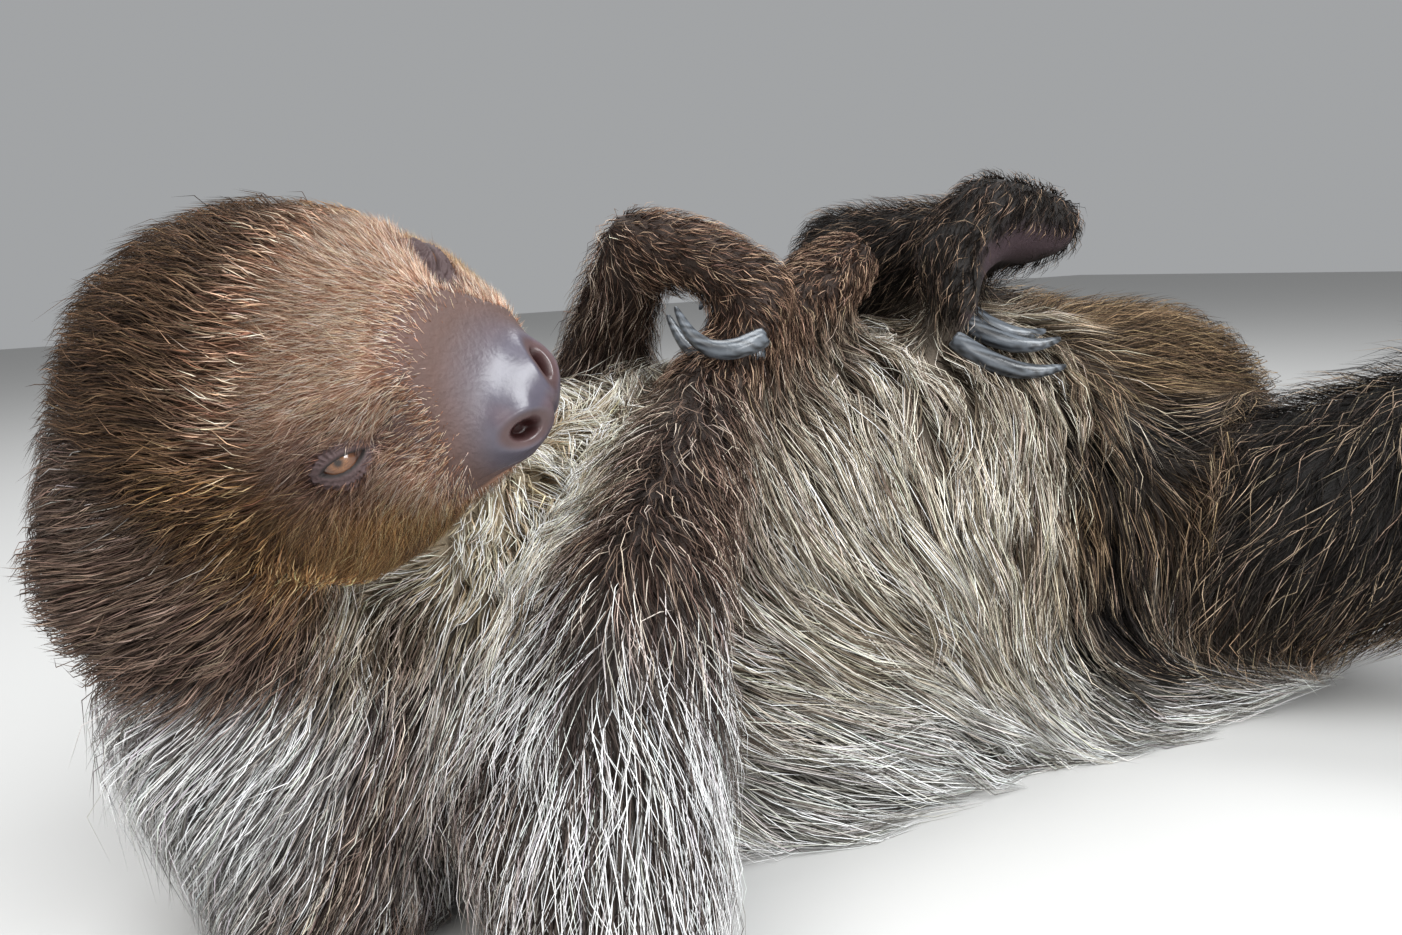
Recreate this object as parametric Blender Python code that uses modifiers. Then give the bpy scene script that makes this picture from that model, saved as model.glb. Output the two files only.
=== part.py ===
"""A two-toed sloth lying on its back, life size, as a still museum model.

The spine runs along X with the head at -X, the belly faces +Z and the animal's left side
faces +Y. Sizes below are in millimetres and are given out to the tips of the coat.
Each group of the body is modelled whole, from balls joined by smooth hulls, and is then
parted with thin cuts into the pieces that a person would name.
"""

import bmesh
import bpy
from math import radians
from mathutils import Euler, Matrix, Vector

MM = 0.001
GAP = 0.4
COLLECTION = "TwoToedSloth"

# The head's own axes: x to the snout, y to its left, z to its crown.
# Its zero is midway between the eyes, and the head rolls onto its right cheek.
HEAD_PLACE = (-188.8, -109.2, 168.1)
HEAD_TURN = (51.4, 9.8, -37.5)
EYE_SPACING = 52
EYE_RADIUS = 6.8
EYE_GAZE = (0.5, 0.75, 0.43)
EYE_BULGE = 1.5
SOCKET_RADIUS = 7.6
NOSE_CENTRE = (26, 0, -11)
NOSE_RADII = (8.5, 14.5, 11)
NOSTRIL = (32, 8.3, -7)
NOSTRIL_RADII = (3.2, 2.4, 3.6)

# Where the trunk is parted, along X.
NECK_CUT = -168
CHEST_CUT = -35
RUMP_CUT = 80

# Fineness of each group: the voxel, then the share of triangles that is kept.
TRUNK_MESH = (7, 1300)
HEAD_MESH = (3.2, 840)
LIMB_MESH = (4, 400)
SMOOTH_STEPS = 8
BALL_SEGMENTS = 24
EYE_SEGMENTS = 12
NOSE_SEGMENTS = 16
HELPER_SEGMENTS = 10
SHARP_ANGLE = 50
CUT_REACH = 1e-7
WELD_REACH = 1e-5

CLAW_SIDES = 2
CLAW_STEPS = 5
CLAW_TAPER = 2.5
HAND_CLAW = {"root": 3.9, "tip": 1.0}
FOOT_CLAW = {"root": 4.3, "tip": 1.1}

# A station is a centre and a radius, or three radii along X, Y and Z.
# Head stations are in the head's axes, and every other one is in the world's.
SKULL = [
    ((-51, 0, -25), (36, 43, 38)),
    ((-32, 0, -15), (40, 43, 38)),
    ((-8, 0, -8), (26, 33, 28)),
    ((10, 0, -13), (20, 21, 18)),
    ((22, 0, -12), (10.5, 14, 11)),
]
CHEEK = ((-15, 18, -25), 27)
JAW = [((-18, 0, -30), (22, 20, 18)), ((13, 0, -25), (13, 11, 8))]
BROW = ((-6, 21, 4), (15, 13, 11))

SPINE = [
    ((-237, -57, 143), 28),
    ((-243, -62, 121), 27),
    ((-225, -55, 92), 38),
    ((-208, -40, 56), (46, 46, 60)),
    ((-165, 0, 70), (60, 70, 72)),
    ((-140, 2, 66), (50, 72, 72)),
    ((-90, 8, 70), (55, 84, 77)),
    ((-30, 8, 72), (60, 84, 82)),
    ((40, 10, 76), (60, 86, 86)),
    ((100, 14, 76), (55, 88, 86)),
    ((145, 18, 77), (50, 80, 84)),
    ((190, 28, 80), (48, 64, 77)),
]
# The long hair of each side, where it comes down to the ground.
FLANK_RIGHT = [((-85, -52, 24), 30), ((30, -48, 24), 30), ((130, -58, 24), 30)]
FLANK_LEFT = [((-80, 64, 26), 30), ((30, 68, 26), 30), ((130, 74, 26), 30)]

ARM_RIGHT = [
    ((-135, -48, 72), 40),
    ((-150, -92, 46), 36),
    ((-152, -120, 29), 30),
    ((-127, -92, 98), 24),
    ((-76, -25, 139), 20),
    ((-31, -1, 160), (18, 17, 16)),
    ((10, 18, 181), 15),
]
HAND_RIGHT_TIP = [((10, 18, 181), 14), ((-8, 34, 176), 10)]

ARM_LEFT = [
    ((-105, 50, 98), 40),
    ((-72, 132, 68), 29),
    ((-76, 78, 134), 23),
    ((-78, 25, 191), 17),
    ((-64, 3, 187), 15),
    ((-51, -21, 174), 14),
]
HAND_LEFT_TIP = [((-51, -21, 174), 13), ((-58, -33, 161), 8)]

LEG_RIGHT = [
    ((118, -42, 54), 56),
    ((172, -98, 82), 53),
    ((216, -150, 116), 47),
    ((256, -186, 72), 31),
    ((283, -212, 26), 24),
    ((330, -230, 17), 18),
    ((352, -238, 14), 15),
]

LEG_LEFT = [
    ((180, 58, 92), 52),
    ((43, 74, 180), 28),
    ((84, -10, 190), 18),
    ((58, -7, 196), 19),
    ((36, -9, 179), 16),
    ((33, -20, 159), 13),
]

# Each claw runs from its root to its tip and bows out by a vector between them.
CLAWS = {
    "claw_hand_left_1": (HAND_CLAW, (-60, -41, 160), (-86, -27, 171), (-6, -3, -9)),
    "claw_hand_left_2": (HAND_CLAW, (-56, -32, 155), (-84, -16, 168), (-5, 0, -9)),
    "claw_hand_right_1": (HAND_CLAW, (-10, 38, 176), (-37, 58, 164), (-2, 9, 7)),
    "claw_hand_right_2": (HAND_CLAW, (-5, 41, 168), (-33, 62, 155), (-2, 9, 7)),
    "claw_foot_left_1": (FOOT_CLAW, (25, -26, 152), (55, -53, 141), (-3, -5, -6)),
    "claw_foot_left_2": (FOOT_CLAW, (34, -19, 159), (60, -45, 150), (-3, -5, -6)),
    "claw_foot_left_3": (FOOT_CLAW, (43, -11, 161), (66, -31, 152), (-3, -5, -5)),
    "claw_foot_right_1": (FOOT_CLAW, (358, -228, 13), (399, -238, 7), (0, 0, 9)),
    "claw_foot_right_2": (FOOT_CLAW, (357, -239, 13), (399, -250, 7), (0, 0, 9)),
    "claw_foot_right_3": (FOOT_CLAW, (353, -249, 13), (393, -263, 7), (0, 0, 9)),
}

# Base colour, roughness.
COATS = {
    "crown": ((0.16, 0.09, 0.05), 0.9),
    "cream": ((0.55, 0.45, 0.31), 0.9),
    "limb": ((0.13, 0.08, 0.055), 0.9),
    "nose": ((0.25, 0.2, 0.24), 0.35),
    "eye": ((0.2, 0.09, 0.03), 0.08),
    "claw": ((0.35, 0.36, 0.38), 0.3),
}


def clear_scene():
    for obj in list(bpy.data.objects):
        bpy.data.objects.remove(obj, do_unlink=True)


def make_collection(name, helper=False):
    made = bpy.data.collections.new(name)
    made.hide_render = helper
    bpy.context.scene.collection.children.link(made)
    return made


def material(name):
    colour, rough = COATS[name]
    made = bpy.data.materials.get(name) or bpy.data.materials.new(name)
    made.use_nodes = True
    shader = made.node_tree.nodes["Principled BSDF"]
    shader.inputs["Base Color"].default_value = (*colour, 1)
    shader.inputs["Roughness"].default_value = rough
    return made


def head_frame():
    turn = Euler([radians(a) for a in HEAD_TURN]).to_matrix().to_4x4()
    return Matrix.Translation(Vector(HEAD_PLACE) * MM) @ turn


def ball_matrix(station, frame):
    centre, radii = station
    if not isinstance(radii, tuple):
        radii = (radii,) * 3
    size = Matrix.Diagonal([r * MM for r in radii]).to_4x4()
    return frame @ Matrix.Translation(Vector(centre) * MM) @ size


def add_sphere(bm, segments, place):
    rings = segments * 2 // 3
    bmesh.ops.create_uvsphere(bm, u_segments=segments, v_segments=rings, radius=1, matrix=place)


def add_hull(shape, stations, frame):
    """Adds the smallest closed skin around the balls to the shape."""
    bm = bmesh.new()
    for station in stations:
        place = ball_matrix(station, frame)
        add_sphere(bm, BALL_SEGMENTS, place)
    bmesh.ops.delete(bm, geom=bm.edges[:], context="EDGES_FACES")
    bmesh.ops.convex_hull(bm, input=bm.verts[:])
    inside = [v for v in bm.verts if not v.link_faces]
    bmesh.ops.delete(bm, geom=inside, context="VERTS")
    bmesh.ops.recalc_face_normals(bm, faces=bm.faces[:])
    hull = bpy.data.meshes.new("hull")
    bm.to_mesh(hull)
    bm.free()
    shape.from_mesh(hull)
    bpy.data.meshes.remove(hull)


def add_chain(shape, stations, frame=Matrix()):
    for pair in zip(stations, stations[1:]):
        add_hull(shape, pair, frame)


def apply_modifiers(obj):
    graph = bpy.context.evaluated_depsgraph_get()
    made = bpy.data.meshes.new_from_object(obj.evaluated_get(graph))
    old = obj.data
    obj.modifiers.clear()
    obj.data = made
    bpy.data.meshes.remove(old)


def whole(name, shape, fineness, collection):
    """Fuses the hulls into one smooth closed body, with about the triangles that are asked for."""
    voxel, triangles = fineness
    mesh = bpy.data.meshes.new(name)
    shape.to_mesh(mesh)
    shape.free()
    obj = bpy.data.objects.new(name, mesh)
    collection.objects.link(obj)
    remesh = obj.modifiers.new("fuse", "REMESH")
    remesh.mode = "VOXEL"
    remesh.voxel_size = voxel * MM
    smooth = obj.modifiers.new("smooth", "SMOOTH")
    smooth.iterations = SMOOTH_STEPS
    apply_modifiers(obj)
    thin = obj.modifiers.new("thin", "DECIMATE")
    obj.data.calc_loop_triangles()
    thin.ratio = min(1, triangles / len(obj.data.loop_triangles))
    apply_modifiers(obj)
    return obj


def copy_of(obj, name, collection):
    made = bpy.data.objects.new(name, obj.data.copy())
    collection.objects.link(made)
    return made


def cutter_from(obj, collection):
    """A copy that stands out by the gap all round."""
    made = copy_of(obj, obj.name + "_cutter", collection)
    made.display_type = "WIRE"
    made.hide_render = True
    grow = made.modifiers.new("grow", "DISPLACE")
    grow.strength = GAP * MM
    grow.mid_level = 0
    apply_modifiers(made)
    return made


def box_of(obj):
    points = [v.co for v in obj.data.vertices]
    return [(min(p[axis] for p in points), max(p[axis] for p in points)) for axis in range(3)]


def boxes_meet(first, second):
    return all(a[0] < b[1] and b[0] < a[1] for a, b in zip(box_of(first), box_of(second)))


def carve(obj, cutter):
    if not boxes_meet(obj, cutter):
        return
    cut = obj.modifiers.new("carve", "BOOLEAN")
    cut.operation = "DIFFERENCE"
    cut.solver = "EXACT"
    cut.object = cutter
    apply_modifiers(obj)


def keep_side(obj, point, normal):
    """Cuts with a plane, half a gap back, and keeps the side that the normal points away from."""
    normal = Vector(normal).normalized()
    bm = bmesh.new()
    bm.from_mesh(obj.data)
    every = bm.verts[:] + bm.edges[:] + bm.faces[:]
    place = Vector(point) * MM - normal * GAP * MM / 2
    cut = bmesh.ops.bisect_plane(
        bm, geom=every, dist=CUT_REACH, plane_co=place, plane_no=normal, clear_outer=True
    )
    rim = [e for e in cut["geom_cut"] if isinstance(e, bmesh.types.BMEdge)]
    bmesh.ops.edgenet_fill(bm, edges=rim)
    loose = [e for e in bm.edges if not e.link_faces]
    bmesh.ops.delete(bm, geom=loose, context="EDGES")
    bmesh.ops.triangulate(bm, faces=bm.faces[:])
    bmesh.ops.recalc_face_normals(bm, faces=bm.faces[:])
    bm.to_mesh(obj.data)
    bm.free()


def part_with_planes(obj, names, planes, collection):
    """Parts one body with planes in a row, each given by a point and the direction of the next piece."""
    made = []
    for index, name in enumerate(names):
        piece = copy_of(obj, name, collection)
        if index > 0:
            point, ahead = planes[index - 1]
            keep_side(piece, point, -Vector(ahead))
        if index < len(planes):
            point, ahead = planes[index]
            keep_side(piece, point, ahead)
        made.append(piece)
    bpy.data.objects.remove(obj, do_unlink=True)
    return made


def joint_plane(stations, index):
    """The plane that halves the bend at a station."""
    before, here, after = (Vector(stations[i][0]) for i in (index - 1, index, index + 1))
    return here, (after - here).normalized() + (here - before).normalized()


def finish(obj, coat):
    obj.data.materials.clear()
    obj.data.materials.append(material(coat))
    obj.data.shade_smooth()
    obj.data.set_sharp_from_angle(angle=radians(SHARP_ANGLE))
    return obj


def flat_bottom(obj):
    """Takes off what is below the ground, which leaves the flats that it rests on."""
    keep_side(obj, (0, 0, -GAP / 2), (0, 0, -1))


def make_head(parts):
    frame = head_frame()
    shape = bmesh.new()
    add_chain(shape, SKULL, frame)
    add_chain(shape, JAW, frame)
    for side in (1, -1):
        for (x, y, z), radii in (CHEEK, BROW):
            add_hull(shape, [((x, side * y, z), radii)], frame)
    head = whole("head", shape, HEAD_MESH, parts)
    return head, frame


def make_ball(name, station, frame, collection, segments, coat):
    bm = bmesh.new()
    add_sphere(bm, segments, ball_matrix(station, frame))
    bmesh.ops.triangulate(bm, faces=bm.faces[:])
    mesh = bpy.data.meshes.new(name)
    bm.to_mesh(mesh)
    bm.free()
    obj = bpy.data.objects.new(name, mesh)
    collection.objects.link(obj)
    return finish(obj, coat)


def make_helper(name, station, frame, helpers):
    obj = make_ball(name, station, frame, helpers, HELPER_SEGMENTS, "nose")
    obj.hide_render = True
    obj.display_type = "WIRE"
    return obj


def make_face(head, frame, parts, helpers):
    """The eyes and the nose pad, each let into the head."""
    for side, name in ((1, "eye_left"), (-1, "eye_right")):
        gaze = Vector((EYE_GAZE[0], side * EYE_GAZE[1], EYE_GAZE[2])).normalized()
        front = Vector((0, side * EYE_SPACING / 2, 0)) + gaze * EYE_BULGE
        eye = make_ball(name, (front - gaze * EYE_RADIUS, EYE_RADIUS), frame, parts, EYE_SEGMENTS, "eye")
        socket = make_helper("socket", (front, SOCKET_RADIUS), frame, helpers)
        carve(head, socket)
        carve(head, cutter_from(eye, helpers))
    nose = make_ball("nose", (NOSE_CENTRE, NOSE_RADII), frame, parts, NOSE_SEGMENTS, "nose")
    carve(head, cutter_from(nose, helpers))
    for side in (1, -1):
        x, y, z = NOSTRIL
        carve(nose, make_helper("nostril", ((x, side * y, z), NOSTRIL_RADII), frame, helpers))
    finish(nose, "nose")


def make_trunk(parts):
    shape = bmesh.new()
    for chain in (SPINE, FLANK_RIGHT, FLANK_LEFT):
        add_chain(shape, chain)
    return whole("trunk", shape, TRUNK_MESH, parts)


def make_limb(name, chains, parts):
    shape = bmesh.new()
    for chain in chains:
        add_chain(shape, chain)
    return whole(name, shape, LIMB_MESH, parts)


def make_claw(name, kind, root, tip, bow, parts):
    """A curved horn: a tube along a bowed line that tapers to its tip."""
    root, tip, bow = Vector(root), Vector(tip), Vector(bow)
    curve = bpy.data.curves.new(name, "CURVE")
    curve.dimensions = "3D"
    curve.bevel_depth = MM
    curve.bevel_resolution = CLAW_SIDES
    curve.use_fill_caps = True
    line = curve.splines.new("POLY")
    line.points.add(CLAW_STEPS - 1)
    for index, point in enumerate(line.points):
        t = index / (CLAW_STEPS - 1)
        place = root.lerp(tip, t) + bow * 4 * t * (1 - t)
        point.co = (*(place * MM), 1)
        point.radius = kind["root"] + (kind["tip"] - kind["root"]) * t**CLAW_TAPER
    guide = bpy.data.objects.new(name + "_curve", curve)
    parts.objects.link(guide)
    graph = bpy.context.evaluated_depsgraph_get()
    mesh = bpy.data.meshes.new_from_object(guide.evaluated_get(graph))
    bpy.data.objects.remove(guide, do_unlink=True)
    bm = bmesh.new()
    bm.from_mesh(mesh)
    bmesh.ops.remove_doubles(bm, verts=bm.verts[:], dist=WELD_REACH)
    bmesh.ops.triangulate(bm, faces=bm.faces[:])
    bmesh.ops.recalc_face_normals(bm, faces=bm.faces[:])
    bm.to_mesh(mesh)
    bm.free()
    obj = bpy.data.objects.new(name, mesh)
    parts.objects.link(obj)
    return finish(obj, "claw")


def centre_on_origin(objects):
    """Moves every mesh so that the middle of the model's box, at the ground, is the origin."""
    boxes = [box_of(obj) for obj in objects]
    middle = [sum((min(b[axis][0] for b in boxes), max(b[axis][1] for b in boxes))) / 2 for axis in (0, 1)]
    shift = Matrix.Translation((-middle[0], -middle[1], 0))
    for obj in objects:
        obj.data.transform(shift)


def main():
    clear_scene()
    parts = make_collection(COLLECTION)
    helpers = make_collection("cutters", helper=True)

    head, frame = make_head(parts)
    trunk = make_trunk(parts)
    limbs = {
        "arm_right": make_limb("arm_right", [ARM_RIGHT, HAND_RIGHT_TIP], parts),
        "arm_left": make_limb("arm_left", [ARM_LEFT, HAND_LEFT_TIP], parts),
        "leg_right": make_limb("leg_right", [LEG_RIGHT], parts),
        "leg_left": make_limb("leg_left", [LEG_LEFT], parts),
    }
    claws = [make_claw(name, *spec, parts) for name, spec in CLAWS.items()]

    in_turn = [*claws, head, trunk, *limbs.values()]
    cutters = [cutter_from(obj, helpers) for obj in in_turn]
    for index, cutter in enumerate(cutters):
        for later in in_turn[max(index + 1, len(claws)):]:
            carve(later, cutter)
    make_face(head, frame, parts, helpers)

    for obj in (trunk, limbs["arm_right"], limbs["leg_right"]):
        flat_bottom(obj)

    pieces = [(head, "crown")]
    planes = [((x, 0, 0), (1, 0, 0)) for x in (NECK_CUT, CHEST_CUT, RUMP_CUT)]
    made = part_with_planes(trunk, ["neck", "chest", "belly", "rump"], planes, parts)
    pieces += [(piece, "cream") for piece in made]
    joints = {
        "arm_right": (ARM_RIGHT, 2, 4),
        "arm_left": (ARM_LEFT, 1, 3),
        "leg_right": (LEG_RIGHT, 2, 4),
        "leg_left": (LEG_LEFT, 1, 2),
    }
    for limb, (stations, upper, lower) in joints.items():
        kind, side = limb.split("_")
        names = ("upper_arm_", "forearm_", "hand_") if kind == "arm" else ("thigh_", "shin_", "foot_")
        planes = [joint_plane(stations, upper), joint_plane(stations, lower)]
        made = part_with_planes(limbs[limb], [n + side for n in names], planes, parts)
        pieces += [(piece, "limb") for piece in made]
    for piece, coat in pieces:
        finish(piece, coat)
    centre_on_origin(list(parts.objects))


main()
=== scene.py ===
import math

import bmesh
import bpy
import numpy as np
from mathutils import Matrix, Vector, kdtree


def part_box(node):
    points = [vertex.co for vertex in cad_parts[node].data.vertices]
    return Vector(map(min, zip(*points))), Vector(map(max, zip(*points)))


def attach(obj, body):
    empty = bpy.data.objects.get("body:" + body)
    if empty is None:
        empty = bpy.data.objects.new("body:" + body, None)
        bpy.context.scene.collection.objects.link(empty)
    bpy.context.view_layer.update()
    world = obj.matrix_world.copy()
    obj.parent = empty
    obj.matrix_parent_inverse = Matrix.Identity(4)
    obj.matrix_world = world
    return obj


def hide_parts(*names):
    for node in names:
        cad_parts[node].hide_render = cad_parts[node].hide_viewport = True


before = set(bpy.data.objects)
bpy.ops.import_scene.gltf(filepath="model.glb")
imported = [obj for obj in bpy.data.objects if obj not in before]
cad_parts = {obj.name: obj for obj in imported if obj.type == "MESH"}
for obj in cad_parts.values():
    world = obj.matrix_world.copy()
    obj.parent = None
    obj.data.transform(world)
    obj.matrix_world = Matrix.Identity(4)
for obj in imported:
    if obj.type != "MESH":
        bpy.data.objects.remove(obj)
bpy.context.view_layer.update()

mm = 0.001
weldGap = 0.001 * mm
seed = 11
body = "root"


# camera, floor and lights

cameraSpec = {
    "place": (-0.2899, -0.2855, 0.185), "yaw": -25, "pitch": 78.8, "roll": -2.9,
    "lens": 27.04, "sensor": 36, "nearest": 0.01,
}


def placeCamera():
    cam = bpy.data.cameras.new("camera")
    cam.lens = cameraSpec["lens"]
    cam.sensor_width = cameraSpec["sensor"]
    cam.clip_start = cameraSpec["nearest"]
    obj = bpy.data.objects.new("camera", cam)
    turn = Matrix.Rotation(math.radians(cameraSpec["yaw"]), 4, "Z")
    turn = turn @ Matrix.Rotation(math.radians(cameraSpec["pitch"]), 4, "X")
    turn = turn @ Matrix.Rotation(math.radians(cameraSpec["roll"]), 4, "Z")
    obj.matrix_world = Matrix.Translation(cameraSpec["place"]) @ turn
    bpy.context.scene.collection.objects.link(obj)
    bpy.context.scene.camera = obj


lampSpec = {
    # name: place, aim, size, watts, colour
    "window": ((0.12, -1.0, 1.15), (-0.1, 0, 0.1), 0.8, 31, (0.95, 0.98, 1.0)),
    "side": ((-1.0, -0.7, 0.9), (-0.1, 0, 0.1), 0.9, 10, (1.0, 0.98, 0.95)),
    "top": ((0.1, 0.5, 1.4), (0, 0, 0.1), 0.9, 17, (0.96, 0.98, 1.0)),
    "low": ((0.03, -1.25, 0.21), (-0.1, 0, 0.1), 0.36, 7, (1.0, 1.0, 1.0)),
}
skySpec = {"Color": (0.86, 0.88, 0.9, 1), "Strength": 0.42}


def lightStudio():
    for name, (place, aim, size, watts, colour) in lampSpec.items():
        lamp = bpy.data.lights.new(name, "AREA")
        lamp.size = size
        lamp.energy = watts
        lamp.color = colour
        obj = bpy.data.objects.new(name, lamp)
        obj.location = place
        obj.rotation_euler = (Vector(aim) - Vector(place)).to_track_quat("-Z", "Y").to_euler()
        bpy.context.scene.collection.objects.link(obj)
    world = bpy.data.worlds.new("studio")
    world.use_nodes = True
    setInputs(world.node_tree.nodes["Background"], skySpec)
    bpy.context.scene.world = world
    bpy.context.scene.view_settings.view_transform = "Standard"


# small helpers


def setInputs(node, values):
    for name, value in values.items():
        node.inputs[name].default_value = value


def tint(red, green, blue):
    # screen colour, 0 to 255, to linear
    parts = [c / 255 for c in (red, green, blue)]
    return np.array([c / 12.92 if c <= 0.04045 else ((c + 0.055) / 1.055) ** 2.4 for c in parts])


def ramp(value, start, end):
    # 0 at start, 1 at end, eased; either may be the higher one
    t = np.clip((value - start) / (end - start), 0, 1)
    return t * t * (3 - 2 * t)


def bell(value, centre, spread):
    # 1 at the centre, fading to 0 on both sides
    return np.exp(-((value - centre) / spread) ** 2)


def edgesOf(table):
    # a function that looks up where a named edge starts and ends, and gives the ramp across it
    def edge(name, value):
        return ramp(value, *table[name])
    return edge


def near(points, centre, radius):
    # 1 at the centre, fading to 0 past the radius
    return bell(np.linalg.norm(points - centre, axis=1), 0, radius)


def unit(rows):
    return rows / np.maximum(np.linalg.norm(rows, axis=-1, keepdims=True), 1e-9)


def mix(first, second, amount):
    return first + (second - first) * amount


def middle(node):
    low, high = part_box(node)
    return np.array((low + high) / 2) / mm


def wave(points, size, shift=0.0):
    # smooth pattern without a grain, from -1 to 1, with blobs about this size in mm
    x, y, z = (points / size * 2.1).T
    first = np.sin(x + 1.7 * np.sin(0.8 * y + shift) + shift)
    second = np.sin(1.1 * y + 1.4 * np.sin(0.9 * z + 2 * shift) - shift)
    third = np.sin(0.9 * z + 1.6 * np.sin(1.1 * x - shift) + 3 * shift)
    return (first + second + third) / 3


def makeTree(points):
    tree = kdtree.KDTree(len(points))
    for index, place in enumerate(points.tolist()):
        tree.insert(place, index)
    tree.balance()
    return tree


def nearest(tree, points):
    return np.array([tree.find(p)[1] for p in points.tolist()])


def linkObject(name, mesh):
    obj = bpy.data.objects.new(name, mesh)
    bpy.context.scene.collection.objects.link(obj)
    return obj


def linkShape(name, bm):
    # the finished shape as an object
    mesh = bpy.data.meshes.new(name)
    bm.to_mesh(mesh)
    bm.free()
    return linkObject(name, mesh)


def applyModifiers(obj):
    graph = bpy.context.evaluated_depsgraph_get()
    done = bpy.data.meshes.new_from_object(obj.evaluated_get(graph))
    old = obj.data
    obj.modifiers.clear()
    obj.data = done
    bpy.data.meshes.remove(old)


def fuse(obj, voxel, smooth):
    # one even closed surface, voxel in mm
    remesh = obj.modifiers.new("fuse", "REMESH")
    remesh.mode = "VOXEL"
    remesh.voxel_size = voxel * mm
    soften = obj.modifiers.new("soften", "SMOOTH")
    soften.iterations = smooth
    applyModifiers(obj)


def readRows(mesh, name):
    # "co" or "normal" of every vertex
    flat = np.empty(len(mesh.vertices) * 3, np.float32)
    mesh.vertices.foreach_get(name, flat)
    return flat.reshape(-1, 3).astype(float)


def readPoints(mesh):
    return readRows(mesh, "co") / mm


def readNormals(mesh):
    return readRows(mesh, "normal")


def writePoints(mesh, points):
    mesh.vertices.foreach_set("co", (points * mm).astype(np.float32).ravel())
    mesh.update()


class Blur:
    # averages values over neighbouring vertices

    def __init__(self, mesh):
        flat = np.empty(len(mesh.edges) * 2, np.int32)
        mesh.edges.foreach_get("vertices", flat)
        pairs = flat.reshape(-1, 2)
        here = np.concatenate([pairs[:, 0], pairs[:, 1]])
        there = np.concatenate([pairs[:, 1], pairs[:, 0]])
        order = np.argsort(here, kind="stable")
        self.there = there[order]
        self.count = np.bincount(here, minlength=len(mesh.vertices))
        self.start = np.concatenate([[0], np.cumsum(self.count)[:-1]])

    def __call__(self, values, times, mask=None):
        values = values.copy()
        count = self.count.reshape(-1, *[1] * (values.ndim - 1))
        for step in range(times):
            mean = np.add.reduceat(values[self.there], self.start, axis=0) / count
            move = (mean - values) * 0.5
            values += move if mask is None else move * mask
        return values


def paint(mesh, name, colours):
    layer = mesh.attributes.new(name, "FLOAT_COLOR", "POINT")
    full = np.ones((len(colours), 4), np.float32)
    full[:, :3] = colours
    layer.data.foreach_set("color", full.ravel())


def paintValue(mesh, name, values):
    layer = mesh.attributes.new(name, "FLOAT", "POINT")
    layer.data.foreach_set("value", np.asarray(values, np.float32))


# the head's own axes: x to the snout, y to its left, z to its crown, in mm from midway between the eyes

headSpec = {
    "noseDrop": math.atan2(8.72, 28.65),      # the nose lies this much under the snout's own line
    "eyeBack": 2.65, "eyeDown": 2.28,         # the eyes' middles lie behind and under the head's zero
}

eyePlace = {1: middle("eye_left"), -1: middle("eye_right")}
headLeft = unit(eyePlace[1] - eyePlace[-1])
towardNose = unit(middle("nose") - (eyePlace[1] + eyePlace[-1]) / 2)
risen = np.cross(towardNose, headLeft)
headFore = towardNose * math.cos(headSpec["noseDrop"]) + risen * math.sin(headSpec["noseDrop"])
headUp = risen * math.cos(headSpec["noseDrop"]) - towardNose * math.sin(headSpec["noseDrop"])
headAxes = np.stack([headFore, headLeft, headUp])
headZero = (eyePlace[1] + eyePlace[-1]) / 2 + headFore * headSpec["eyeBack"] + headUp * headSpec["eyeDown"]


def toHead(points):
    return (points - headZero) @ headAxes.T


def fromHead(points):
    return np.asarray(points, float) @ headAxes + headZero


# skin

# how deep the skin lies under the outline, in mm
coatDepth = {
    "head": 7, "neck": 12, "chest": 12, "belly": 12, "rump": 12,
    "upper_arm_right": 10, "forearm_right": 6.5, "hand_right": 3.5,
    "upper_arm_left": 9, "forearm_left": 6, "hand_left": 3,
    "thigh_right": 11, "shin_right": 8, "foot_right": 4,
    "thigh_left": 11, "shin_left": 6, "foot_left": 3.5, "nose": 0.2,
}
regions = list(coatDepth)
headSet = ["head", "nose"]
trunkSet = ["chest", "belly", "rump"]
armSet = ["upper_arm_right", "forearm_right", "upper_arm_left", "forearm_left"]

skinSpec = {
    "eyePlug": 8.3, "overlap": 0.5, "voxel": 3.3, "floorGap": 0.6,      # in mm
    # rounds of smoothing
    "smooth": 10, "settle": 4, "regionBlur": 14, "depthBlur": 6, "fineSmooth": 3,
    # the points that tell the regions apart: one for each patch of this area in mm2, and at least this many
    "samplePatch": 16, "leastSamples": 20,
}
depthSpec = {
    # coat on the face, on the snout and under the body, in mm, and where each is reached
    "face": 2.6, "faceFore": (-45, -14), "snout": 0.4, "snoutFore": (-10, 8),
    "under": 2.5, "underTurn": (-0.4, -0.9), "underHeight": (24, 6),
    # less of it on top of the neck, more in the fold under the jaw
    "nape": 4.5, "napeHeight": (98, 108), "ruff": 5, "ruffHeight": 88, "ruffSpread": 7,
}


def joinFlesh():
    bm = bmesh.new()
    for name in regions:
        bm.from_mesh(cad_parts[name].data)
    bmesh.ops.remove_doubles(bm, verts=bm.verts[:], dist=weldGap)
    for side in (1, -1):      # closes the eye sockets, so that lids can form over them
        at = Matrix.Translation(Vector(eyePlace[side] * mm))
        bmesh.ops.create_icosphere(bm, subdivisions=3, radius=skinSpec["eyePlug"] * mm, matrix=at)
    skin = linkShape("skin", bm)
    swell = skin.modifiers.new("swell", "DISPLACE")
    swell.strength = skinSpec["overlap"] * mm
    swell.mid_level = 0
    fuse(skin, skinSpec["voxel"], skinSpec["smooth"])
    return skin


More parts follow.
